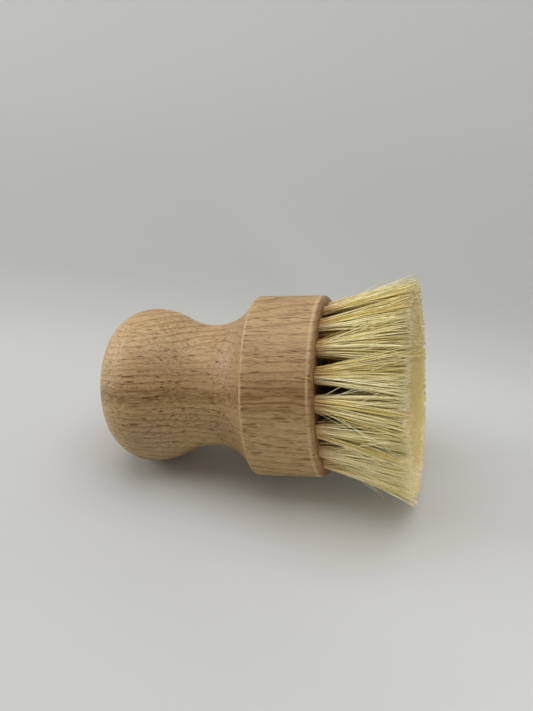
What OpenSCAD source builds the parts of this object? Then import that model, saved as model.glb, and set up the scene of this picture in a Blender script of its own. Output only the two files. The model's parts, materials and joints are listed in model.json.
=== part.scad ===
// Round palm brush: a turned wooden handle with plant-fibre tufts, lying on its side.
//
// Every piece is drawn along the brush's own axis, which runs up +Z from the end of the
// knob at z = 0 to the trimmed fibre ends. lay_down() then puts the whole brush down on
// its side: the knob and the two lowest tufts stand on the floor plane z = 0, +X runs
// towards the fibres, and the origin is under the middle of the bounding box.

/* [Handle] */
// Diameter of the drum that holds the tufts
drum_d = 50; // [49:0.1:50.4]
// Length of the drum from its back ridge to the drilled front face
drum_len = 19.2; // [18:0.2:22]
// Rounding of the drum's front edge
front_round = 1.15; // [0.6:0.05:1.4]
// Rounding of the ridge at the drum's back edge
ridge_round = 1.2; // [0.6:0.1:1.6]
// Diameter of the neck at its narrowest
neck_d = 33.8; // [32:0.2:36]
// Distance along the axis from the narrowest neck to the back ridge
neck_to_ridge = 12.9; // [12.5:0.1:13.2]
// Largest diameter of the knob
knob_d = 43.2; // [43:0.1:45]
// Distance from the knob's end to its widest place
knob_rise = 14.0; // [13.5:0.1:14.6]
// Distance from the knob's widest place to the narrowest neck
knob_to_neck = 17.5; // [16.5:0.1:18.5]
// Radius of the shoulder between the knob's end and its widest place
shoulder_r = 13.0; // [12:0.1:13.2]
// Radius of the crown between the knob's widest place and the neck
crown_r = 19.0; // [17:0.5:21]

/* [Tufts] */
// Diameter of the drilled tuft holes
bore_d = 4.6; // [3.8:0.1:4.8]
// Depth of a hole at its full diameter
bore_depth = 11.0; // [9:0.5:12]
// Length of fibre standing out of the front face, along the brush's axis
fibre_len = 24.2; // [20:0.2:25]
// Diameter that a tuft spreads to at the trimmed ends
tuft_tip_d = 8.6; // [8.5:0.05:8.6]
// Tufts in the outer ring
outer_count = 18; // [16:2:18]
// Radius of the outer ring of holes on the front face
outer_r = 20.8; // [20.4:0.1:21.2]
// Radius that the outer ring spreads to at the trimmed ends
outer_tip_r = 26.2; // [26.2:0.1:27]
// Tufts in the middle ring
middle_count = 12; // [8:1:12]
// Radius of the middle ring of holes on the front face
middle_r = 14.2; // [14:0.1:14.4]
// Radius that the middle ring spreads to at the trimmed ends
middle_tip_r = 17.4; // [17.3:0.05:17.4]
// Tufts in the inner ring
inner_count = 6; // [4:1:6]
// Radius of the inner ring of holes on the front face
inner_r = 7.5; // [7.3:0.1:7.7]
// Radius that the inner ring spreads to at the trimmed ends
inner_tip_r = 8.7; // [8.65:0.05:8.75]

/* [Anchors] */
// Length of the flat wire that holds a folded tuft, wider than the hole so that it bites
anchor_len = 5.4; // [5:0.1:5.6]
// Width of the flat wire, along the hole
anchor_width = 2.0; // [1.6:0.1:2.2]
// Thickness of the flat wire
anchor_thick = 0.4; // [0.3:0.05:0.5]

/* [Hidden] */
$fn = 96;
RINGS = ["outer", "middle", "inner"];
COUNTS = [outer_count, middle_count, inner_count];
FACE_RADII = [outer_r, middle_r, inner_r];
TIP_RADII = [outer_tip_r, middle_tip_r, inner_tip_r];

// Gap between a tuft's root and its hole, and round an anchor's bitten-in ends.
root_gap = 0.05;
bite_gap = 0.02;
// Angle of a twist drill's point from the flat, and how far cutting tools run past a face.
drill_point = 31;
past = 1;

drum_r = drum_d / 2;
neck_r = neck_d / 2;
knob_r = knob_d / 2;
bore_r = bore_d / 2;
root_r = bore_r - root_gap;
// Radius of the bend that the folded fibres make under the anchor.
bend_r = root_r + 0.3;

// Stations along the axis, from the knob's end.
neck_z = knob_rise + knob_to_neck;
ridge_z = neck_z + neck_to_ridge;
face_z = ridge_z + drum_len;
tip_z = face_z + fibre_len;

// The end of the knob is a shallow dome: the sphere that meets the shoulder's arc without a corner.
dome_r = (knob_rise * knob_rise + knob_r * knob_r - 2 * knob_r * shoulder_r)
    / (2 * (knob_rise - shoulder_r));
// Radius at which the dome ends and the shoulder begins.
dome_edge_r = dome_r * (knob_r - shoulder_r) / (dome_r - shoulder_r);
// The neck's arc on the knob's side, tangent to the crown's arc and level at the narrowest neck.
neck_drop = knob_r - neck_r;
hollow_r = (knob_to_neck * knob_to_neck + neck_drop * neck_drop - 2 * neck_drop * crown_r)
    / (2 * neck_drop);
crown_share = crown_r / (crown_r + hollow_r);
crown_end_z = knob_rise + knob_to_neck * crown_share;
crown_end_r = knob_r - neck_drop * crown_share;
// The neck's arc on the drum's side, which climbs to the drum's full radius at the ridge.
flare_rise = drum_r - neck_r;
flare_r = (neck_to_ridge * neck_to_ridge + flare_rise * flare_rise) / (2 * flare_rise);
// Centre of the ridge's rounding, tangent to the flare and to the drum's side.
ridge_centre_r = drum_r - ridge_round;
ridge_reach = flare_r + ridge_round;
ridge_fall = neck_r + flare_r - ridge_centre_r;
ridge_centre_z = neck_z + sqrt(ridge_reach * ridge_reach - ridge_fall * ridge_fall);
// Where the flare ends and the rounding begins.
flare_share = flare_r / ridge_reach;
flare_end_z = neck_z + (ridge_centre_z - neck_z) * flare_share;
flare_end_r = neck_r + flare_r - ridge_fall * flare_share;

// How far a ring's tufts lean outwards, and how fast one tuft widens, both in degrees.
function lean(ring) = atan((TIP_RADII[ring] - FACE_RADII[ring]) / fibre_len);
function widening(ring) = atan((tuft_tip_d / 2 - root_r) * cos(lean(ring)) / fibre_len);
// Turn of one tuft about the axis. Turn 0 points down, so two outer tufts straddle it.
function turn(ring, index) = (index + 0.5) * 360 / COUNTS[ring];

// Reach of the two lowest tufts below the axis, from the ellipse in which the trimming
// plane cuts an outer tuft's cone. The cone starts to widen just clear of the wood.
outer_lean = lean(0);
outer_widening = widening(0);
function cone_start(lean_angle) = root_r * tan(lean_angle) + root_gap;
outer_start = cone_start(outer_lean);
start_r = outer_r + outer_start * sin(outer_lean);
start_z = outer_start * cos(outer_lean);
function edge_r(side) = start_r + side * root_r * cos(outer_lean)
    + (fibre_len - start_z + side * root_r * sin(outer_lean)) * tan(outer_lean + side * outer_widening);
cut_centre = (edge_r(1) + edge_r(-1)) / 2;
cut_half = (edge_r(1) - edge_r(-1)) / 2;
cut_stretch = sin(outer_lean) / cos(outer_widening);
cut_side = cut_half * sqrt(1 - cut_stretch * cut_stretch);
low_turn = turn(0, 0);
tip_reach = cut_centre * cos(low_turn)
    + sqrt(pow(cut_half * cos(low_turn), 2) + pow(cut_side * sin(low_turn), 2));

// The axis rises towards the fibres by the angle at which knob and tufts touch the floor together.
rest_run = tip_z - knob_rise;
rest_fall = tip_reach - knob_r + crown_r;
rest_pitch = atan2(rest_fall, rest_run) - asin(crown_r / norm([rest_run, rest_fall]));
lift = tip_reach * cos(rest_pitch) - tip_z * sin(rest_pitch);
ridge_low = ridge_centre_r * cos(rest_pitch) + ridge_round - ridge_centre_z * sin(rest_pitch);
assert(ridge_low < lift, "the drum's ridge would touch the floor before the tufts do");

// The bounding box runs from the knob's domed end to the highest fibre ends.
back_x = dome_r * cos(rest_pitch) - dome_r;
front_x = tip_z * cos(rest_pitch) + tip_reach * sin(rest_pitch);
middle_x = (back_x + front_x) / 2;

module lay_down() {
    translate([-middle_x, 0, lift]) rotate([0, 90 - rest_pitch, 0]) children();
}

// ---- handle ----

// A disc of the handle's outline, with its centre r from the axis at station z.
module disc(r, z, radius) {
    translate([r, z]) circle(radius);
}

// A block of the outline from the axis out to radius r, between two stations.
module block(r, from_z, to_z) {
    translate([0, from_z]) square([r, to_z - from_z]);
}

module knob_outline() {
    intersection() {
        disc(0, dome_r, dome_r);
        block(dome_edge_r, 0, knob_rise);
    }
    intersection() {
        disc(knob_r - shoulder_r, knob_rise, shoulder_r);
        block(knob_r, 0, ridge_z);
    }
    intersection() {
        disc(knob_r - crown_r, knob_rise, crown_r);
        block(knob_r, knob_rise, crown_end_z);
    }
}

module neck_outline() {
    difference() {
        block(crown_end_r, crown_end_z, neck_z);
        disc(neck_r + hollow_r, neck_z, hollow_r);
    }
    difference() {
        block(flare_end_r, neck_z, flare_end_z);
        disc(neck_r + flare_r, neck_z, flare_r);
    }
}

module drum_outline() {
    polygon([[0, flare_end_z], [flare_end_r, flare_end_z], [ridge_centre_r, ridge_centre_z], [0, ridge_centre_z]]);
    disc(ridge_centre_r, ridge_centre_z, ridge_round);
    block(drum_r, ridge_centre_z, face_z - front_round);
    disc(drum_r - front_round, face_z - front_round, front_round);
    block(drum_r - front_round, face_z - front_round, face_z);
}

module turned_blank() {
    rotate_extrude() {
        knob_outline();
        neck_outline();
        drum_outline();
    }
}

// ---- one tuft, drawn from the mouth of its hole at the origin, with the hole along -Z ----

module at_hole(ring, index) {
    rotate([0, 0, turn(ring, index)])
        translate([FACE_RADII[ring], 0, face_z])
            rotate([0, lean(ring), 0])
                children();
}

module at_centre_hole() {
    translate([0, 0, face_z]) children();
}

module bore() {
    translate([0, 0, -bore_depth]) cylinder(h = bore_depth + past, r = bore_r);
    point_depth = bore_r * tan(drill_point);
    translate([0, 0, -bore_depth - point_depth]) cylinder(h = point_depth, r1 = 0, r2 = bore_r);
}

// The flat wire lies across the hole, level with the bend of the folded fibres.
module anchor(gap = 0) {
    size = [anchor_thick + 2 * gap, anchor_len + 2 * gap, anchor_width + 2 * gap];
    translate([0, 0, root_r - bore_depth]) cube(size, center = true);
}

// The outline of a tuft on its own axis: straight in the hole, then widening past the trimming plane.
module tuft_bundle(lean_angle, widen) {
    start = cone_start(lean_angle);
    end = start + fibre_len + outer_tip_r * sin(outer_lean);
    rotate_extrude() polygon([
        [0, -bore_depth],
        [root_r, -bore_depth],
        [root_r, start],
        [root_r + (end - start) * tan(widen), end],
        [0, end]]);
}

// Everything above the round bend that the folded fibres make under the anchor.
module above_bend() {
    rotate([90, 0, 0]) linear_extrude(2 * outer_tip_r, center = true) {
        translate([0, bend_r - bore_depth]) circle(bend_r);
        translate([-outer_tip_r, bend_r - bore_depth]) square([2 * outer_tip_r, tip_z]);
    }
}

module tuft_body(lean_angle, widen) {
    difference() {
        intersection() {
            tuft_bundle(lean_angle, widen);
            above_bend();
        }
        anchor(bite_gap);
    }
}

// Everything behind the plane in which the fibre ends are trimmed.
module trimmed() {
    intersection() {
        children();
        cylinder(h = tip_z, r = outer_tip_r + tuft_tip_d);
    }
}

// ---- the pieces, each in its own node ----

module handle() {
    color("burlywood") lay_down() difference() {
        turned_blank();
        for (ring = [0 : len(RINGS) - 1], index = [0 : COUNTS[ring] - 1])
            at_hole(ring, index) {
                bore();
                anchor(bite_gap);
            }
        at_centre_hole() {
            bore();
            anchor(bite_gap);
        }
    }
}

module ring_tuft(ring, index) {
    color("khaki") lay_down() trimmed()
        at_hole(ring, index) tuft_body(lean(ring), widening(ring));
}

module centre_tuft() {
    color("khaki") lay_down() trimmed()
        at_centre_hole() tuft_body(0, atan((tuft_tip_d / 2 - root_r) / fibre_len));
}

module ring_anchors(ring) {
    color("silver") lay_down()
        for (index = [0 : COUNTS[ring] - 1]) at_hole(ring, index) anchor();
}

module centre_anchor() {
    color("silver") lay_down() at_centre_hole() anchor();
}

function tuft_name(ring, index) = str(RINGS[ring], "_tuft_", index + 1);
function anchors_name(ring) = str(RINGS[ring], "_ring_anchors");

handle();
for (ring = [0 : len(RINGS) - 1], index = [0 : COUNTS[ring] - 1])
    ring_tuft(ring, index);
centre_tuft();
for (ring = [0 : len(RINGS) - 1])
    ring_anchors(ring);
centre_anchor();
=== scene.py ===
"""Round palm brush: a turned wooden handle with plant-fibre tufts, lying on a pale studio floor.

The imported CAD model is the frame. The handle and the anchor wires keep their CAD shapes and
get materials. Each CAD tuft is replaced by a bundle of separate fibres, folded round its anchor.

Sizes are in millimetres, and MM turns them into metres. The brush's own frame has its origin
in the middle of the drilled face, x towards the floor, y to the side and z along the axis to
the fibre ends.
"""

import json
import math

import bpy
import numpy as np
from mathutils import Matrix, Vector

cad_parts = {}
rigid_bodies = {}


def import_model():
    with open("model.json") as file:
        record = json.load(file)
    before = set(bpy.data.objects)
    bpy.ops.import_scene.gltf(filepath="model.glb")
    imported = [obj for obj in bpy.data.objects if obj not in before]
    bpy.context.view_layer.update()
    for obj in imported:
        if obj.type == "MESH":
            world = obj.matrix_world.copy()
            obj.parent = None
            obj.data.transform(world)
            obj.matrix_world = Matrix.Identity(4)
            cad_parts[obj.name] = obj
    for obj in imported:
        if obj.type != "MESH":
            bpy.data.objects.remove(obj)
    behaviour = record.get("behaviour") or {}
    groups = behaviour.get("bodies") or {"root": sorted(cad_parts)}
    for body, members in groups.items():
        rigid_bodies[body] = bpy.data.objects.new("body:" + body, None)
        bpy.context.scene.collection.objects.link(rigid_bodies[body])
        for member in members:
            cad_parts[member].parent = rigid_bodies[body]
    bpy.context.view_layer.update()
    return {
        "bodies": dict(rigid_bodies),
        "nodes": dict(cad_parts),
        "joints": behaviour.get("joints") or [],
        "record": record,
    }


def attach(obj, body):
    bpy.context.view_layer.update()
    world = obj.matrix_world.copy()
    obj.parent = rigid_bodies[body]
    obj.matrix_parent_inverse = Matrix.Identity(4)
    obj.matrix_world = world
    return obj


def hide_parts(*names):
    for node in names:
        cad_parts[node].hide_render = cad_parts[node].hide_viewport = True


MM = 0.001

# ---- the brush, as the CAD model has it ----

FIBRE_LEN = 24.2
BORE_D = 4.6
BORE_DEPTH = 11.0
ANCHOR_WIDTH = 2.0
ANCHOR_THICK = 0.4
# Each ring of tufts: how many, the radius of their holes, and the radius that they spread to.
RINGS = {
    "outer": (18, 20.8, 26.2),
    "middle": (12, 14.2, 17.4),
    "inner": (6, 7.5, 8.7),
}
# The rings' fibre ends share the trimmed disc between these radii.
CELL_EDGES = {"outer": (21.0, 29.6), "middle": (11.8, 23.0), "inner": (3.2, 14.2)}
CENTRE_CELL_R = 5.4
# How far a tuft's fibre ends reach past its own share of the ring, among its neighbours'.
CELL_OVERLAP = 1.3

# ---- the wood's grain ----

# Growth layers lie square to this direction in the brush's frame, round a pith this far away.
LAYER_NORMAL = (-0.857, 0.516, 0.0)
PITH_AWAY = 95.0
LAYER_STEP = 2.3
# How much further apart the layers are for each millimetre towards the fibres.
LAYER_FLARE = 0.006
# How unevenly the layers are spaced, in layers, and how thin their dark lines are.
LAYER_UNEVEN = 1.4
LINE_SHARPNESS = 6.0
# How far the grain wanders sideways, and how quickly, across and along it.
WANDER = 2.6
WANDER_STEPS = (0.11, 0.11, 0.05)
# A darker band of layers, this far below the axis, and its half-width on the knob and on the drum.
BAND_BELOW = 3.0
BAND_ON_KNOB = 3.5
BAND_ON_DRUM = 8.0
# The flare from the neck to the drum cuts across the grain, so more pores are open there.
FLARE_AT = -24.5
FLARE_REACH = 8.0
# The stretches of the axis over which the knob's end gets painted light, the drum gets painted shade and
# the band turns wider.
KNOB_END = (-50.0, -66.0)
DRUM_START = (-22.0, -16.0)
BAND_WIDENING = (-24.0, -16.0)
# The drum's two edges, which carry painted highlights, and the stretch over which its rounded front
# turns to end grain with painted shade.
DRUM_EDGES = (-19.2, -1.6)
DRILLED_FACE = (-1.1, -0.6)
# Each kind of pore: its cell, its length and its radius, and how rare the dark ones are.
LARGE_PORE = (0.72, 7.5, 0.27, 1.1)
SMALL_PORE = (0.5, 3.6, 0.18, 0.9)
FLARE_PORE = (0.55, 2.2, 0.2, 0.6)
# Keeps the small pores from lying where the large ones do.
PORE_SHIFT = (31.0, 17.0, 5.0)
PORE_DEPTH = 0.05

# Screen colours, from 0 to 255.
WOOD_PALE = (198, 169, 121)
WOOD_TAN = (186, 156, 112)
# Painted light on the knob's end.
KNOB_END_LIGHT_COLOUR = (220, 194, 150)
# Painted shade over the drum.
DRUM_SHADE_COLOUR = (146, 116, 78)
STREAK_COLOUR = (143, 111, 73)
BAND_COLOUR = (126, 91, 56)
LATE_WOOD_COLOUR = (116, 80, 46)
FINE_LINE_COLOUR = (124, 92, 56)
FLARE_COLOUR = (140, 104, 66)
FLARE_PORE_COLOUR = (118, 82, 48)
SMALL_PORE_COLOUR = (112, 70, 34)
LARGE_PORE_COLOUR = (92, 51, 20)
# Painted highlight along the drum's two edges.
EDGE_HIGHLIGHT_COLOUR = (222, 194, 150)
# End grain, deepened by painted shade on the rounded front.
END_GRAIN_AND_SHADE_COLOUR = (118, 78, 42)

# ---- the fibres ----

FOLDED_PER_TUFT = 104
FIBRE_D = 0.28
FIBRE_D_SPREAD = 0.2
FIBRE_SIDES = 6
LEG_STEPS = 10
BEND_STEPS = 4
# How far from the hole's wall the fibres keep, how uneven their packing is, and how deep in
# the hole they are straight.
WALL_GAP = 0.2
ROOT_JITTER = 0.04
STRAIGHT_DEPTH = 4.5
# How much deeper the innermost bends of the folded fibres hang than the outermost.
BEND_DROP = 0.8
# How much a fibre keeps to its hole's direction where it leaves the wood.
ROOT_STIFFNESS = 0.06
# A tuft's twist between root and tip, in radians, and the unevenness of its ends, in half-widths.
TWIST = 0.25
TIP_JITTER = 0.24
# How far the ends that would leave the tuft's share come back, at most.
HELD_BACK = 0.18
# Bow and waviness of single fibres, and how many waves one has.
BOW = 0.45
WAVE = 0.10
WAVES = (0.7, 1.6)
# How far below its own straight line gravity brings a fibre end.
SAG = 0.9
# How far the floor lifts the fibre ends that touch it, and the height over which that fades.
FLOOR_PUSH = 2.0
FLOOR_REACH = 10.0
FLOOR_SOFTNESS = 0.35
TRIM_SPREAD = 0.28
# The tone of a fibre runs from 0 to 1. The rings inside are pushed below it for painted shade: darker,
# more golden fibres inside the fibre mass.
INNER_SHADE_TONE = {"outer": 0.0, "middle": -0.45, "inner": -0.8, None: -0.8}
STRAY_TONE = 0.85
# Fibres draw together into clumps, which share some of their tone.
CLUMPS = 14
CLUMP_PULL = 0.38
CLUMP_TONE = 0.5
# Share of the fibres that stray across their neighbours, and how far, in half-widths of a tuft.
STRAY_SHARE = 0.018
STRAY_REACH = (0.4, 1.9)
STRAY_OUT = (0.8, 1.15)
STRAY_THIN = 0.6
# Share of the strays that are broken short, and what is left of them.
BROKEN_SHARE = 0.5
BROKEN_LENGTH = (0.6, 1.0)
# Share of the outer ring's fibres that splay out past the trimmed disc, and how far, in half-cells.
SPLAYED_SHARE = 0.055
SPLAY = 0.55
# Steps of the golden ratio spread the roots evenly over the hole.
GOLDEN = 0.618034
RING_SEEDS = 100
CENTRE_SEED = 900
# A fibre's place along its leg, from its bend inside the handle to its end at 1.
BEND_ALONG = -0.3

# Screen colours, from 0 to 255.
FIBRE_GOLD = (210, 185, 82)
FIBRE_CREAM = (255, 250, 208)
FIBRE_BLEACHED = (255, 253, 222)
# Painted shade inside the fibre mass.
FIBRE_INNER_SHADE = (212, 142, 30)
FIBRE_STREAK = (198, 168, 78)
# Painted shade at the crowded roots.
FIBRE_ROOT_SHADE = (160, 88, 14)
FIBRE_TIP = (212, 197, 150)
CUT_DULL = (164, 158, 132)
CUT_PALE = (234, 232, 220)
CUT_SPECK = (116, 92, 56)

# ---- the anchor wire and the paper, with screen colours from 0 to 255 ----

WIRE_DULL = (150, 150, 148)
WIRE_BRIGHT = (196, 194, 190)
# Drawing lines per metre, across and along the wire.
WIRE_LINES = (9000.0, 600.0, 9000.0)

PAPER_DARK = (196, 198, 197)
PAPER_PALE = (199, 201, 200)
# Painted light and shade on the paper, zone by zone: where it fades in, in metres away from the camera,
# and its colour.
# Paler in front, greyer just behind the brush, and between on the sweep.
PAPER_LIGHT_AND_SHADE = (
    (-0.04, -0.11, (203, 205, 204)),
    (0.02, 0.12, (172, 174, 172)),
    (0.14, 0.46, (184, 186, 186)),
)
SURROUND_COLOUR = (203, 204, 201)

# ---- the studio, in metres and watts ----

FLOOR_FRONT = -1.0
FLOOR_BACK = 0.27
SWEEP_R = 0.35
SWEEP_STEPS = 24
WALL_TOP = 1.2
HALF_WIDTH = 1.0

ROOM_COLOUR = (0.92, 0.80, 0.67, 1.0)
ROOM_STRENGTH = 0.25
# Each softbox: its place, its size and its power.
OVERHEAD = ((0.0, 0.085, 0.85), (1.10, 0.94), 6.1)
LEFT_PANEL = ((-0.90, 0.085, 0.41), (0.68, 0.51), 4.7)
RIGHT_PANEL = ((0.94, 0.085, 0.34), (0.77, 0.62), 1.25)
FIBRE_FILL = ((0.34, -0.46, 0.13), (0.08, 0.08), 0.011)
# What the fill is aimed at, the width of its beam in degrees, and its colour.
FILL_AIM = (0.068, -0.036, 0.0)
FILL_SPREAD = 11.0
FILL_TINT = (1.0, 0.97, 0.90)

# ---- the camera ----

LENS = 53.67
SENSOR = 36.0
CAMERA_YAW = 11.1
CAMERA_DROP = 31.7
CAMERA_DISTANCE = 296.7
CLIP_START = 0.01
CLIP_END = 10.0
# What the camera looks past: the middle of the drum's back ridge, behind the fibre ends.
RIDGE_BEHIND_TIPS = 43.4
SHIFT_RIGHT = 1.56
SHIFT_UP = 8.39


# ---- node helpers ----


def new_material(name):
    """A new material, its node tree and its Principled shader."""
    material = bpy.data.materials.new(name)
    material.use_nodes = True
    shader = material.node_tree.nodes["Principled BSDF"]
    return material, material.node_tree, shader


def add(tree, kind, inputs=None, **settings):
    """A new node. Its inputs are plain values or the outputs of other nodes."""
    node = tree.nodes.new("ShaderNode" + kind)
    for name, value in settings.items():
        setattr(node, name, value)
    for name, value in (inputs or {}).items():
        if isinstance(value, bpy.types.NodeSocket):
            tree.links.new(value, node.inputs[name])
        else:
            node.inputs[name].default_value = value
    return node


def calc(tree, operation, a, b=0.0):
    """The output of one Math node."""
    return add(tree, "Math", {0: a, 1: b}, operation=operation).outputs[0]


def product(tree, a, b):
    """a times b."""
    return calc(tree, "MULTIPLY", a, b)


def away_from(tree, value, middle):
    """How far value is from middle, either way."""
    return calc(tree, "ABSOLUTE", calc(tree, "SUBTRACT", value, middle))


def remap(tree, value, low, high, to_low=0.0, to_high=1.0):
    """value eased from low..high to to_low..to_high, and held outside."""
    inputs = {"Value": value, "From Min": low, "From Max": high, "To Min": to_low, "To Max": to_high}
    node = add(tree, "MapRange", inputs, interpolation_type="SMOOTHSTEP")
    return node.outputs["Result"]


def mix(tree, factor, a, b):
    """Colour a turned into colour b by factor."""
    inputs = {0: factor, 6: a, 7: b}
    return add(tree, "Mix", inputs, data_type="RGBA").outputs[2]


def tint(tree, colour, factor, screen):
    """colour turned by factor into a screen colour."""
    return mix(tree, factor, colour, rgb(*screen))


def rgb(red, green, blue):
    """A linear colour from the numbers of a screen colour."""
    return tuple(
        c / 12.92 if c <= 0.04045 else ((c + 0.055) / 1.055) ** 2.4
        for c in (red / 255, green / 255, blue / 255)
    ) + (1.0,)


def scaled(tree, vector, scale):
    """vector with each of its three parts scaled."""
    return add(tree, "VectorMath", {0: vector, 1: scale}, operation="MULTIPLY").outputs[0]


def shifted(tree, vector, shift):
    """vector moved by shift."""
    return add(tree, "VectorMath", {0: vector, 1: shift}, operation="ADD").outputs[0]


def dot(tree, vector, direction):
    """How far vector reaches along direction."""
    node = add(tree, "VectorMath", {0: vector, 1: direction}, operation="DOT_PRODUCT")
    return node.outputs["Value"]


def noise(tree, vector, scale, detail=3.0, roughness=0.5):
    """Smooth noise, from about 0.2 to 0.8."""
    inputs = {"Vector": vector, "Scale": scale, "Detail": detail, "Roughness": roughness}
    return add(tree, "TexNoise", inputs).outputs["Fac"]


def grain_noise(tree, place, across, along, detail, roughness=0.5):
    """Noise drawn out along the axis, with this many steps a millimetre across it and along it."""
    return noise(tree, scaled(tree, place, (across, across, along)), 1.0, detail, roughness)


def brush_coordinates(tree, brush):
    """Millimetres in the brush's own frame, at the point being shaded."""
    inputs = {
        "Vector": add(tree, "TexCoord").outputs["Object"],
        "Location": brush.translation,
        "Rotation": brush.to_euler(),
        "Scale": (MM, MM, MM),
    }
    return add(tree, "Mapping", inputs, vector_type="TEXTURE").outputs["Vector"]


# ---- wood ----


def wandering_grain(tree, place):
    """place in a grain that wanders a little, so no streak is a ruled line."""
    inputs = {"Vector": scaled(tree, place, WANDER_STEPS), "Scale": 1.0, "Detail": 2.0}
    wander = add(tree, "TexNoise", inputs).outputs["Color"]
    return shifted(tree, place, scaled(tree, wander, (WANDER, WANDER, 0.0)))


def wood_pores(tree, place, kind):
    """Open pores: one in each cell, drawn out along the grain. Most are faint and few are dark."""
    cell, length, radius, rarity = kind
    cells = scaled(tree, place, (1 / cell, 1 / cell, 1 / length))
    voronoi = add(tree, "TexVoronoi", {"Vector": cells, "Scale": 1.0}, feature="F1")
    lottery = add(tree, "SeparateColor", {"Color": voronoi.outputs["Color"]}).outputs["Red"]
    depth = calc(tree, "POWER", lottery, rarity)
    edge = radius / cell
    inside = remap(tree, voronoi.outputs["Distance"], edge, edge * 0.5)
    return product(tree, depth, inside)


def growth_layers(tree, grain, height):
    """Thin dark late-wood lines of rings about a far pith. They open out slightly towards the fibres."""
    along = add(tree, "SeparateXYZ", {"Vector": grain}).outputs["Z"]
    spread = calc(tree, "ADD", product(tree, along, LAYER_FLARE), 1.0)
    width = dot(tree, grain, (-LAYER_NORMAL[1], LAYER_NORMAL[0], 0.0))
    depth = calc(tree, "ADD", calc(tree, "DIVIDE", height, spread), PITH_AWAY)
    squares = calc(tree, "ADD", calc(tree, "POWER", depth, 2.0), calc(tree, "POWER", width, 2.0))
    layers = calc(tree, "DIVIDE", calc(tree, "SQRT", squares), LAYER_STEP)
    uneven = product(tree, grain_noise(tree, grain, 0.09, 0.015, 1.0), LAYER_UNEVEN)
    count = calc(tree, "ADD", layers, uneven)
    return calc(tree, "POWER", calc(tree, "FRACT", count), LINE_SHARPNESS)


def wood_with_painted_light(tree, place, along):
    """The wood's colour, with painted light paling the knob's end and painted shade deepening the drum.
    """
    broad = grain_noise(tree, place, 0.06, 0.03, 2.0)
    colour = mix(tree, remap(tree, broad, 0.35, 0.65), rgb(*WOOD_PALE), rgb(*WOOD_TAN))
    # Painted light: the knob's end is paler, where the left panel would light it.
    colour = tint(tree, colour, remap(tree, along, *KNOB_END, 0.0, 0.6), KNOB_END_LIGHT_COLOUR)
    # Painted shade: the drum is made deeper, to hold back the light that the fibre fill puts on it.
    return tint(tree, colour, remap(tree, along, *DRUM_START, 0.0, 0.2), DRUM_SHADE_COLOUR)


def dark_band(tree, along, height):
    """A darker band of layers, seen along the side of the handle. It is wider on the drum."""
    off_band = away_from(tree, height, -BAND_BELOW)
    half_width = remap(tree, along, *BAND_WIDENING, BAND_ON_KNOB, BAND_ON_DRUM)
    return calc(tree, "SUBTRACT", 1.0, remap(tree, off_band, 0.5, half_width))


def wood_figure(tree, colour, grain, along, streak, fine, patchy):
    """colour with the wood's streaks, its band, its growth lines and its fine lines."""
    height = dot(tree, grain, LAYER_NORMAL)
    line = growth_layers(tree, grain, height)
    band = product(tree, dark_band(tree, along, height), remap(tree, streak, 0.3, 0.6, 0.15, 0.68))
    drawn = product(tree, line, remap(tree, patchy, 0.35, 0.6, 0.3, 0.85))
    colour = tint(tree, colour, remap(tree, streak, 0.44, 0.70, 0.0, 0.42), STREAK_COLOUR)
    colour = tint(tree, colour, band, BAND_COLOUR)
    colour = tint(tree, colour, drawn, LATE_WOOD_COLOUR)
    return tint(tree, colour, remap(tree, fine, 0.5, 0.66, 0.0, 0.5), FINE_LINE_COLOUR)


def open_pores(tree, colour, grain, along):
    """colour with its pores, and how deep the pores are."""
    large = wood_pores(tree, grain, LARGE_PORE)
    beside = shifted(tree, grain, PORE_SHIFT)
    small = wood_pores(tree, beside, SMALL_PORE)
    dense = wood_pores(tree, beside, FLARE_PORE)
    flare = remap(tree, away_from(tree, along, FLARE_AT), FLARE_REACH, 2.0)
    colour = tint(tree, colour, product(tree, flare, 0.22), FLARE_COLOUR)
    colour = tint(tree, colour, product(tree, flare, product(tree, dense, 0.7)), FLARE_PORE_COLOUR)
    colour = tint(tree, colour, product(tree, small, 0.9), SMALL_PORE_COLOUR)
    colour = tint(tree, colour, product(tree, large, 0.9), LARGE_PORE_COLOUR)
    return colour, calc(tree, "MAXIMUM", large, small)


def edge_highlights_and_face_shade(tree, colour, along, patchy):
    """colour with painted highlights along the drum's two edges, and darker on its rounded front and
    drilled face: end grain with painted shade.
    """
    # Painted highlights: thin pale lines along both edges of the drum.
    for edge in DRUM_EDGES:
        edge_light = remap(tree, away_from(tree, along, edge), 0.55, 0.1)
        edge_light = product(tree, edge_light, remap(tree, patchy, 0.3, 0.65, 0.16, 0.42))
        colour = tint(tree, colour, edge_light, EDGE_HIGHLIGHT_COLOUR)
    # Darker on the rounded front and the drilled face: end grain, and painted shade where the edge turns
    # from the lights.
    return tint(tree, colour, remap(tree, along, *DRILLED_FACE, 0.0, 0.5), END_GRAIN_AND_SHADE_COLOUR)


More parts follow.
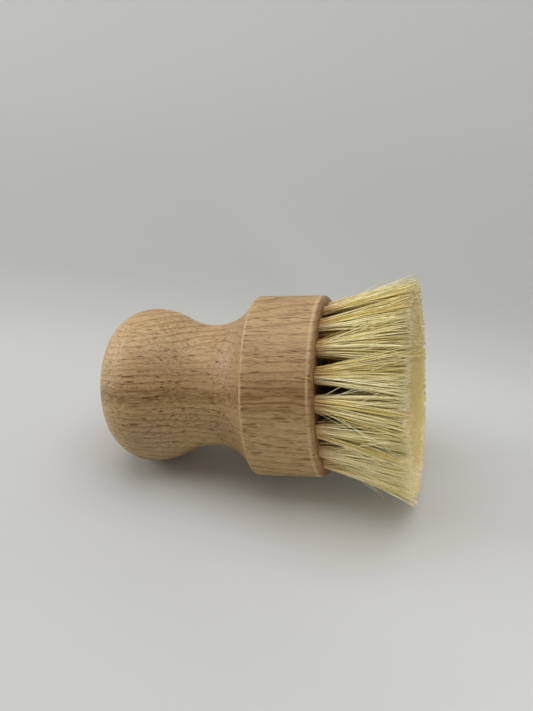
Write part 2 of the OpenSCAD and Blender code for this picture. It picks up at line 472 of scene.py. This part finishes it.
def wood_material(brush):
    """Turned hardwood with a satin finish. The grain runs along the brush's axis."""
    material, tree, shader = new_material("turned_wood")
    place = brush_coordinates(tree, brush)
    along = add(tree, "SeparateXYZ", {"Vector": place}).outputs["Z"]
    grain = wandering_grain(tree, place)
    patchy = grain_noise(tree, place, 0.10, 0.04, 2.0)
    streak = grain_noise(tree, grain, 1.5, 0.11, 4.0, 0.6)
    fine = grain_noise(tree, grain, 5.0, 0.7, 3.0)

    colour = wood_with_painted_light(tree, place, along)
    colour = wood_figure(tree, colour, grain, along, streak, fine, patchy)
    colour, pores = open_pores(tree, colour, grain, along)
    colour = edge_highlights_and_face_shade(tree, colour, along, patchy)
    tree.links.new(colour, shader.inputs["Base Color"])

    tree.links.new(remap(tree, streak, 0.3, 0.7, 0.42, 0.56), shader.inputs["Roughness"])
    shader.inputs["Specular IOR Level"].default_value = 0.36
    relief = calc(tree, "SUBTRACT", product(tree, fine, 0.10), pores)
    bump = add(tree, "Bump", {"Height": relief, "Strength": 0.35, "Distance": PORE_DEPTH * MM})
    tree.links.new(bump.outputs["Normal"], shader.inputs["Normal"])
    return material


# ---- fibre, wire and paper ----


def fibre_material(brush):
    """Dried plant fibre, cream to gold from fibre to fibre, with painted shade: deep gold inside the
    tufts' mass and brown towards the roots.
    """
    material, tree, shader = new_material("plant_fibre")
    tone = add(tree, "Attribute", attribute_name="tone").outputs["Fac"]
    along = add(tree, "Attribute", attribute_name="along").outputs["Fac"]
    streak = grain_noise(tree, brush_coordinates(tree, brush), 5.0, 0.25, 3.0)
    # Painted shade: the rings inside turn deep gold below their tips, where the fibre mass shades them.
    inner = remap(tree, tone, -1.0, 0.0, 1.0, 0.0)
    below_tips = remap(tree, along, 0.55, 0.97, 1.0, 0.0)
    colour = mix(tree, remap(tree, tone, 0.0, 0.85), rgb(*FIBRE_GOLD), rgb(*FIBRE_CREAM))
    colour = tint(tree, colour, remap(tree, tone, 0.8, 1.0), FIBRE_BLEACHED)
    colour = tint(tree, colour, product(tree, inner, below_tips), FIBRE_INNER_SHADE)
    colour = tint(tree, colour, remap(tree, streak, 0.45, 0.7, 0.0, 0.35), FIBRE_STREAK)
    # Painted shade: brown towards the roots, where the tufts crowd and shade each other.
    colour = tint(tree, colour, remap(tree, along, -0.15, 0.42, 0.9, 0.0), FIBRE_ROOT_SHADE)
    colour = tint(tree, colour, remap(tree, along, 0.8, 1.0, 0.0, 0.55), FIBRE_TIP)
    tree.links.new(colour, shader.inputs["Base Color"])
    tree.links.new(remap(tree, tone, 0.0, 1.0, 0.46, 0.30), shader.inputs["Roughness"])
    shader.inputs["Specular IOR Level"].default_value = 0.22
    return material


def cut_end_material(brush):
    """The trimmed ends of the fibres: tan, with darker ones here and there."""
    material, tree, shader = new_material("fibre_cut_end")
    tone = add(tree, "Attribute", attribute_name="tone").outputs["Fac"]
    speck = noise(tree, brush_coordinates(tree, brush), 1.6, 3.0, 0.7)
    # The inner rings' tone carries their painted shade, so their cut ends are duller too.
    colour = mix(tree, remap(tree, tone, -0.6, 0.9), rgb(*CUT_DULL), rgb(*CUT_PALE))
    colour = tint(tree, colour, remap(tree, speck, 0.46, 0.62, 0.0, 0.75), CUT_SPECK)
    tree.links.new(colour, shader.inputs["Base Color"])
    shader.inputs["Roughness"].default_value = 0.75
    return material


def wire_material():
    """Flat drawn steel wire, with its drawing lines."""
    material, tree, shader = new_material("anchor_wire")
    place = add(tree, "TexCoord").outputs["Object"]
    lines = noise(tree, scaled(tree, place, WIRE_LINES), 1.0, 3.0)
    colour = mix(tree, lines, rgb(*WIRE_DULL), rgb(*WIRE_BRIGHT))
    tree.links.new(colour, shader.inputs["Base Color"])
    tree.links.new(remap(tree, lines, 0.3, 0.7, 0.28, 0.48), shader.inputs["Roughness"])
    shader.inputs["Metallic"].default_value = 1.0
    return material


def paper_material():
    """The pale matt paper that the brush lies on, with painted light in front of it and painted shade
    behind it.
    """
    material, tree, shader = new_material("studio_paper")
    place = add(tree, "TexCoord").outputs["Object"]
    colour = mix(tree, noise(tree, place, 30.0, 4.0), rgb(*PAPER_DARK), rgb(*PAPER_PALE))
    depth = add(tree, "SeparateXYZ", {"Vector": place}).outputs["Y"]
    # Painted light at the front and painted shade behind, for the lamps' falloff.
    for start, end, screen in PAPER_LIGHT_AND_SHADE:
        colour = tint(tree, colour, remap(tree, depth, start, end), screen)
    tree.links.new(colour, shader.inputs["Base Color"])
    shader.inputs["Roughness"].default_value = 0.9
    shader.inputs["Specular IOR Level"].default_value = 0.15
    return material


# ---- where the fibres run ----


def root_places(rng, count, root_r, gap):
    """Where one leg of each folded fibre stands in its hole: out from the anchor, and along it."""
    step = np.arange(count)
    reach = root_r * np.sqrt((step + 0.5) / count)
    angle = ((step * GOLDEN) % 1.0 - 0.5) * math.pi
    out = gap + reach * np.cos(angle) * (1 - gap / root_r)
    side = reach * np.sin(angle)
    out = out + rng.normal(0, ROOT_JITTER, count)
    side = side + rng.normal(0, ROOT_JITTER, count)
    return out, side


def fanned(rng, roots, root_r):
    """The roots' places in their hole, twisted, made uneven and held inside a unit disc."""
    count = len(roots)
    twist = rng.normal(0, TWIST)
    out = (roots[:, 0] * math.cos(twist) - roots[:, 1] * math.sin(twist)) / root_r
    side = (roots[:, 0] * math.sin(twist) + roots[:, 1] * math.cos(twist)) / root_r
    out = out + rng.normal(0, TIP_JITTER, count)
    side = side + rng.normal(0, TIP_JITTER, count)
    reach = np.maximum(np.hypot(out, side), 1e-6)
    # The ends that would lie outside come back by uneven amounts, so the disc has no hard edge.
    held = np.where(reach > 1, 1 - HELD_BACK * rng.random(count) ** 2, reach) / reach
    return out * held, side * held


def tip_places(rng, roots, root_r, cell, turn, stray, splayed):
    """Where fibres that stand at roots end on the trimmed disc, as x and y in the brush's frame."""
    count = len(roots)
    out, side = fanned(rng, roots, root_r)
    if cell is None:
        return np.stack([out, side], axis=1) * CENTRE_CELL_R
    # A disc of fibres fills its share of the ring, which is closer to a square.
    square = np.hypot(out, side) / np.maximum(np.maximum(abs(out), abs(side)), 1e-6)
    out, side = out * square, side * square
    out = np.where(stray, rng.uniform(*STRAY_OUT, count), out)
    out = np.where(splayed, 1 + SPLAY * rng.random(count), out)
    across = rng.choice([-1, 1], count) * rng.uniform(*STRAY_REACH, count)
    side = np.where(stray, side + across, side)
    inner, outer, half_turn = cell
    radius = (inner + outer) / 2 + out * (outer - inner) / 2
    angle = turn + side * half_turn
    return np.stack([radius * np.cos(angle), radius * np.sin(angle)], axis=1)


def clumped(rng, tips, tones):
    """The fibre ends drawn towards the clumps that they belong to, and tones shared with them."""
    centres = tips[rng.choice(len(tips), CLUMPS, replace=False)]
    nearest = np.argmin(np.linalg.norm(tips[:, None] - centres[None], axis=2), axis=1)
    drawn = tips + CLUMP_PULL * (centres[nearest] - tips)
    return drawn, tones + CLUMP_TONE * (rng.random(CLUMPS)[nearest] - tones)


def bore_frame(hole, turn, lean):
    """The middle of a hole's mouth, and the hole's directions: outwards, sideways and up."""
    outward = np.array([math.cos(turn), math.sin(turn), 0])
    sideways = np.array([-math.sin(turn), math.cos(turn), 0])
    forward = np.array([0, 0, 1])
    out = outward * math.cos(lean) - forward * math.sin(lean)
    up = outward * math.sin(lean) + forward * math.cos(lean)
    return outward * hole, out, sideways, up


def in_bore(bore, out, side, height):
    """Points in the brush's frame, from their places in a hole's own directions."""
    mouth, bore_out, bore_side, bore_up = bore
    across = np.multiply.outer(out, bore_out) + np.multiply.outer(side, bore_side)
    return mouth + across + np.multiply.outer(height, bore_up)


def leg_points(rng, bore, out, side, tips, bend_height, stray, splayed):
    """One leg of every fibre, as a list of points from the bend in the hole to the trimmed end."""
    count = len(out)
    foot = in_bore(bore, out, side, np.zeros(count))
    trim = FIBRE_LEN + rng.normal(0, TRIM_SPREAD, count)
    broken = stray & (rng.random(count) < BROKEN_SHARE)
    trim = np.where(broken, trim * rng.uniform(*BROKEN_LENGTH, count), trim)
    tip = np.column_stack([tips, trim])
    reach = tip - foot
    stiff = ROOT_STIFFNESS * bore[3] * FIBRE_LEN + (1 - ROOT_STIFFNESS) * reach
    start = np.where(splayed[:, None], reach, stiff)
    bow = rng.normal(0, 1, (count, 2)) * BOW
    wave = rng.normal(0, WAVE, (count, 2))
    beat = rng.uniform(0, 2 * math.pi, count)
    waves = rng.uniform(*WAVES, count)

    points = [in_bore(bore, out, side, np.full(count, h)) for h in (bend_height, -STRAIGHT_DEPTH)]
    for step in range(LEG_STEPS + 1):
        t = step / LEG_STEPS
        # A smooth curve that leaves the foot along start and meets the tip along reach.
        ease = (2 * t**3 - 3 * t**2 + 1, t**3 - 2 * t**2 + t, 3 * t**2 - 2 * t**3, t**3 - t**2)
        point = ease[0] * foot + ease[1] * start + ease[2] * tip + ease[3] * reach
        swing = np.sin(beat + waves * 2 * math.pi * t)[:, None] * wave * t
        point[:, :2] += bow * 4 * t * (1 - t) * t + swing
        points.append(point)
    return points


def bend_points(bore, out, side, bend_height):
    """The half circle under the anchor that joins every fibre's two legs."""
    points = []
    for step in range(1, BEND_STEPS):
        angle = math.pi * step / BEND_STEPS
        height = np.full(len(out), bend_height) - BEND_DROP * out * math.sin(angle)
        points.append(in_bore(bore, out * math.cos(angle), side, height))
    return points


def tuft_paths(rng, hole, turn, lean, cell, splayed_share, brush):
    """Every folded fibre of one tuft as a row of points, each point's tone, and each fibre's radius."""
    count = FOLDED_PER_TUFT
    radius = FIBRE_D / 2 * np.exp(rng.normal(0, FIBRE_D_SPREAD, count))
    stray = rng.random(count) < STRAY_SHARE
    splayed = (rng.random(count) < splayed_share) & ~stray
    loose = stray | splayed
    radius = np.where(loose, radius * STRAY_THIN, radius)
    own_tone = rng.random(count)
    root_r = BORE_D / 2 - WALL_GAP
    out, side = root_places(rng, count, root_r, (ANCHOR_THICK + FIBRE_D) / 2)
    bore = bore_frame(hole, turn, lean)
    bend_height = -BORE_DEPTH + root_r / 2 + ANCHOR_WIDTH / 8

    legs = []
    leg_tones = []
    for leg_out in (out, -out):
        roots = np.stack([leg_out, side], axis=1)
        tips = tip_places(rng, roots, root_r, cell, turn, stray, splayed)
        clumped_tips, tone = clumped(rng, tips, own_tone)
        tips = np.where(loose[:, None], tips, clumped_tips)
        leg_tones.append(np.where(stray, STRAY_TONE, tone))
        legs.append(leg_points(rng, bore, leg_out, side, tips, bend_height, stray, splayed))

    path = np.stack(legs[0][::-1] + bend_points(bore, out, side, bend_height) + legs[1], axis=1)
    first_leg = np.arange(path.shape[1]) < len(legs[0])
    tones = np.where(first_leg, leg_tones[0][:, None], leg_tones[1][:, None])
    lift = np.where(splayed, 0.0, FLOOR_PUSH)[:, None]
    return settle(path, lift, brush), tones, radius


def settle(path, lift, brush):
    """Fibre points in the room, in metres: sagged a little, and lifted by the floor that they meet."""
    frame = np.array(brush)
    height = np.clip(path[:, :, 2] / FIBRE_LEN, 0, None)
    placed = path * MM @ frame[:3, :3].T + frame[:3, 3]
    placed[:, :, 2] -= SAG * MM * height**2
    placed[:, :, 2] += lift * MM * height**2 * np.exp(-placed[:, :, 2] / (FLOOR_REACH * MM))
    soft = FLOOR_SOFTNESS * MM
    floor = FIBRE_D / 2 * MM
    lifted = floor + soft * np.logaddexp(0, (placed[:, :, 2] - floor) / soft)
    placed[:, :, 2] = np.where(height > 0, lifted, placed[:, :, 2])
    return placed


# ---- fibre meshes ----


def tubes(path, radius, side_axis):
    """Vertices and quads of a closed tube round each row of points, and the polygons that end it."""
    count, rows, _ = path.shape
    tangent = np.gradient(path, axis=1)
    tangent /= np.linalg.norm(tangent, axis=2, keepdims=True)
    first = side_axis - (tangent @ side_axis)[:, :, None] * tangent
    first /= np.linalg.norm(first, axis=2, keepdims=True)
    second = np.cross(tangent, first)
    angle = (np.arange(FIBRE_SIDES) * 2 * math.pi / FIBRE_SIDES)[None, None, :, None]
    spoke = first[:, :, None] * np.cos(angle) + second[:, :, None] * np.sin(angle)
    points = path[:, :, None] + spoke * (radius * MM)[:, None, None, None]
    vertex = np.arange(count * rows * FIBRE_SIDES).reshape(count, rows, FIBRE_SIDES)
    here, ahead = vertex[:, :-1], vertex[:, 1:]
    quads = np.stack([here, np.roll(here, -1, 2), np.roll(ahead, -1, 2), ahead], axis=-1)
    ends = np.concatenate([vertex[:, 0, ::-1], vertex[:, -1]])
    return points.reshape(-1, 3), quads.reshape(-1, 4), ends


def fill_mesh(mesh, points, quads, ends):
    """Gives mesh its points, its smooth quads, and its flat ends, which take the second material."""
    loops = np.concatenate([quads.ravel(), ends.ravel()])
    quad_starts = np.arange(len(quads)) * 4
    end_starts = len(quads) * 4 + np.arange(len(ends)) * FIBRE_SIDES
    starts = np.concatenate([quad_starts, end_starts])
    is_end = np.arange(len(starts)) >= len(quads)
    mesh.vertices.add(len(points))
    mesh.vertices.foreach_set("co", points.ravel())
    mesh.loops.add(len(loops))
    mesh.loops.foreach_set("vertex_index", loops.astype(np.int32))
    mesh.polygons.add(len(starts))
    mesh.polygons.foreach_set("loop_start", starts.astype(np.int32))
    mesh.polygons.foreach_set("material_index", is_end.astype(np.int32))
    mesh.update(calc_edges=True)
    mesh.polygons.foreach_set("use_smooth", ~is_end)


def fibre_mesh(name, path, radius, tones, side_axis):
    """One tuft's mesh, with each point's tone and its place along its leg for the material."""
    mesh = bpy.data.meshes.new(name)
    fill_mesh(mesh, *tubes(path, radius, side_axis))
    along = BEND_ALONG + (1 - BEND_ALONG) * abs(np.linspace(-1, 1, path.shape[1]))
    values = {
        "tone": np.repeat(tones.ravel(), FIBRE_SIDES),
        "along": np.tile(np.repeat(along, FIBRE_SIDES), len(tones)),
    }
    for label, value in values.items():
        attribute = mesh.attributes.new(label, "FLOAT", "POINT")
        attribute.data.foreach_set("value", value.astype(np.float32))
    mesh.validate()
    return mesh


def make_tuft(node, ring, index, brush, materials):
    """The fibres that stand for one CAD tuft."""
    if ring is None:
        hole, turn, lean, cell = 0.0, 0.0, 0.0, None
        seed = CENTRE_SEED
    else:
        count, hole, spread = RINGS[ring]
        turn = (index + 0.5) * 2 * math.pi / count
        lean = math.atan2(spread - hole, FIBRE_LEN)
        cell = (*CELL_EDGES[ring], math.pi / count * CELL_OVERLAP)
        seed = RING_SEEDS * list(RINGS).index(ring) + index
    rng = np.random.default_rng(seed)
    splayed_share = SPLAYED_SHARE if ring == "outer" else 0.0
    path, tones, radius = tuft_paths(rng, hole, turn, lean, cell, splayed_share, brush)
    sideways = brush.to_3x3() @ Vector((-math.sin(turn), math.cos(turn), 0))
    name = node + "_fibres"
    # The inner rings' tones carry their painted shade.
    mesh = fibre_mesh(name, path, radius, tones + INNER_SHADE_TONE[ring], np.array(sideways))
    for material in materials:
        mesh.materials.append(material)
    tuft = bpy.data.objects.new(name, mesh)
    bpy.context.scene.collection.objects.link(tuft)
    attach(tuft, "root")
    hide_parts(node)


def make_tufts(brush):
    """All the tufts, ring by ring."""
    materials = (fibre_material(brush), cut_end_material(brush))
    for ring, (count, _, _) in RINGS.items():
        for index in range(count):
            make_tuft(f"{ring}_tuft_{index + 1}", ring, index, brush, materials)
    make_tuft("centre_tuft", None, 0, brush, materials)


# ---- carried-over CAD nodes ----


def finish_node(obj, material):
    """Gives a CAD node its material, and shades its curved faces smoothly but not its corners."""
    obj.data.materials.clear()
    obj.data.materials.append(material)
    weld = obj.modifiers.new("weld", "WELD")
    weld.merge_threshold = 0.001 * MM
    for polygon in obj.data.polygons:
        polygon.use_smooth = True
    split = obj.modifiers.new("corners", "EDGE_SPLIT")
    split.split_angle = math.radians(32)
    split.use_edge_sharp = False


def finish_nodes(nodes, brush):
    """Gives the handle and the anchor wires their materials."""
    finish_node(nodes["handle"], wood_material(brush))
    wire = wire_material()
    for name, node in nodes.items():
        if "anchor" in name:
            finish_node(node, wire)


# ---- studio ----


def make_backdrop():
    """A paper floor that sweeps up behind the brush."""
    profile = [(FLOOR_FRONT, 0.0), (FLOOR_BACK, 0.0)]
    for step in range(1, SWEEP_STEPS + 1):
        angle = math.radians(90 * step / SWEEP_STEPS)
        profile.append((FLOOR_BACK + SWEEP_R * math.sin(angle), SWEEP_R * (1 - math.cos(angle))))
    profile.append((FLOOR_BACK + SWEEP_R, WALL_TOP))
    vertices = [(x, y, z) for y, z in profile for x in (-HALF_WIDTH, HALF_WIDTH)]
    faces = [(2 * i, 2 * i + 1, 2 * i + 3, 2 * i + 2) for i in range(len(profile) - 1)]
    mesh = bpy.data.meshes.new("backdrop")
    mesh.from_pydata(vertices, [], faces)
    for polygon in mesh.polygons:
        polygon.use_smooth = True
    mesh.materials.append(paper_material())
    backdrop = bpy.data.objects.new("backdrop", mesh)
    bpy.context.scene.collection.objects.link(backdrop)


def add_softbox(name, softbox, aim=(0.0, 0.0, 0.02)):
    """A rectangular light aimed at a point on the brush."""
    place, size, power = softbox
    light = bpy.data.lights.new(name, "AREA")
    light.shape = "RECTANGLE"
    light.size, light.size_y = size
    light.energy = power
    light.spread = math.radians(180)
    obj = bpy.data.objects.new(name, light)
    obj.location = place
    obj.rotation_euler = (Vector(aim) - Vector(place)).to_track_quat("-Z", "Y").to_euler()
    bpy.context.scene.collection.objects.link(obj)
    return light


def make_lights():
    """A large softbox overhead, panels at both sides, and a narrow fill on the fibres' lower side."""
    add_softbox("overhead_softbox", OVERHEAD)
    add_softbox("left_panel", LEFT_PANEL)
    add_softbox("right_panel", RIGHT_PANEL)
    fill = add_softbox("fibre_fill", FIBRE_FILL, FILL_AIM)
    fill.spread = math.radians(FILL_SPREAD)
    fill.color = FILL_TINT


def make_world():
    """The room's faint warm light, and the pale surround that shows past the edges of the paper."""
    world = bpy.data.worlds.new("studio")
    world.use_nodes = True
    tree = world.node_tree
    room = tree.nodes["Background"]
    room.inputs["Color"].default_value = ROOM_COLOUR
    room.inputs["Strength"].default_value = ROOM_STRENGTH
    surround = add(tree, "Background", {"Color": rgb(*SURROUND_COLOUR), "Strength": 1.0})
    seen = add(tree, "LightPath").outputs["Is Camera Ray"]
    both = add(tree, "MixShader", {0: seen, 1: room.outputs[0], 2: surround.outputs[0]})
    tree.links.new(both.outputs[0], tree.nodes["World Output"].inputs["Surface"])
    bpy.context.scene.world = world


def make_camera(brush):
    """The camera, to the front and above, with the brush's knob on the left."""
    yaw, drop = math.radians(CAMERA_YAW), math.radians(CAMERA_DROP)
    level = Vector((-math.sin(yaw), math.cos(yaw), 0))
    right = Vector((math.cos(yaw), math.sin(yaw), 0))
    upright = Vector((0, 0, 1))
    forward = math.cos(drop) * level - math.sin(drop) * upright
    up = math.sin(drop) * level + math.cos(drop) * upright
    ridge = brush @ Vector((0, 0, (FIBRE_LEN - RIDGE_BEHIND_TIPS) * MM))
    place = ridge + (SHIFT_RIGHT * right + SHIFT_UP * up - CAMERA_DISTANCE * forward) * MM
    facing = Matrix((right, up, -forward)).transposed().to_4x4()
    data = bpy.data.cameras.new("camera")
    data.lens = LENS
    data.sensor_width = SENSOR
    data.clip_start = CLIP_START
    data.clip_end = CLIP_END
    camera = bpy.data.objects.new("camera", data)
    camera.matrix_world = Matrix.Translation(place) @ facing
    bpy.context.scene.collection.objects.link(camera)
    bpy.context.scene.camera = camera


def brush_frame(record):
    """The brush's own frame, from the mount in the middle of the fibre ends."""
    mount = next(m for m in record["mounts"] if m["name"] == "fibre_face")
    axis = Vector(mount["axis"]).normalized()
    side = Vector((0, 1, 0))
    frame = Matrix((side.cross(axis), side, axis)).transposed().to_4x4()
    frame.translation = Vector(mount["pos_m"]) - axis * FIBRE_LEN * MM
    return frame


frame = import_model()
brush = brush_frame(frame["record"])

make_camera(brush)
make_backdrop()
make_lights()
make_world()
finish_nodes(frame["nodes"], brush)
make_tufts(brush)
bpy.context.scene.view_settings.view_transform = "Standard"
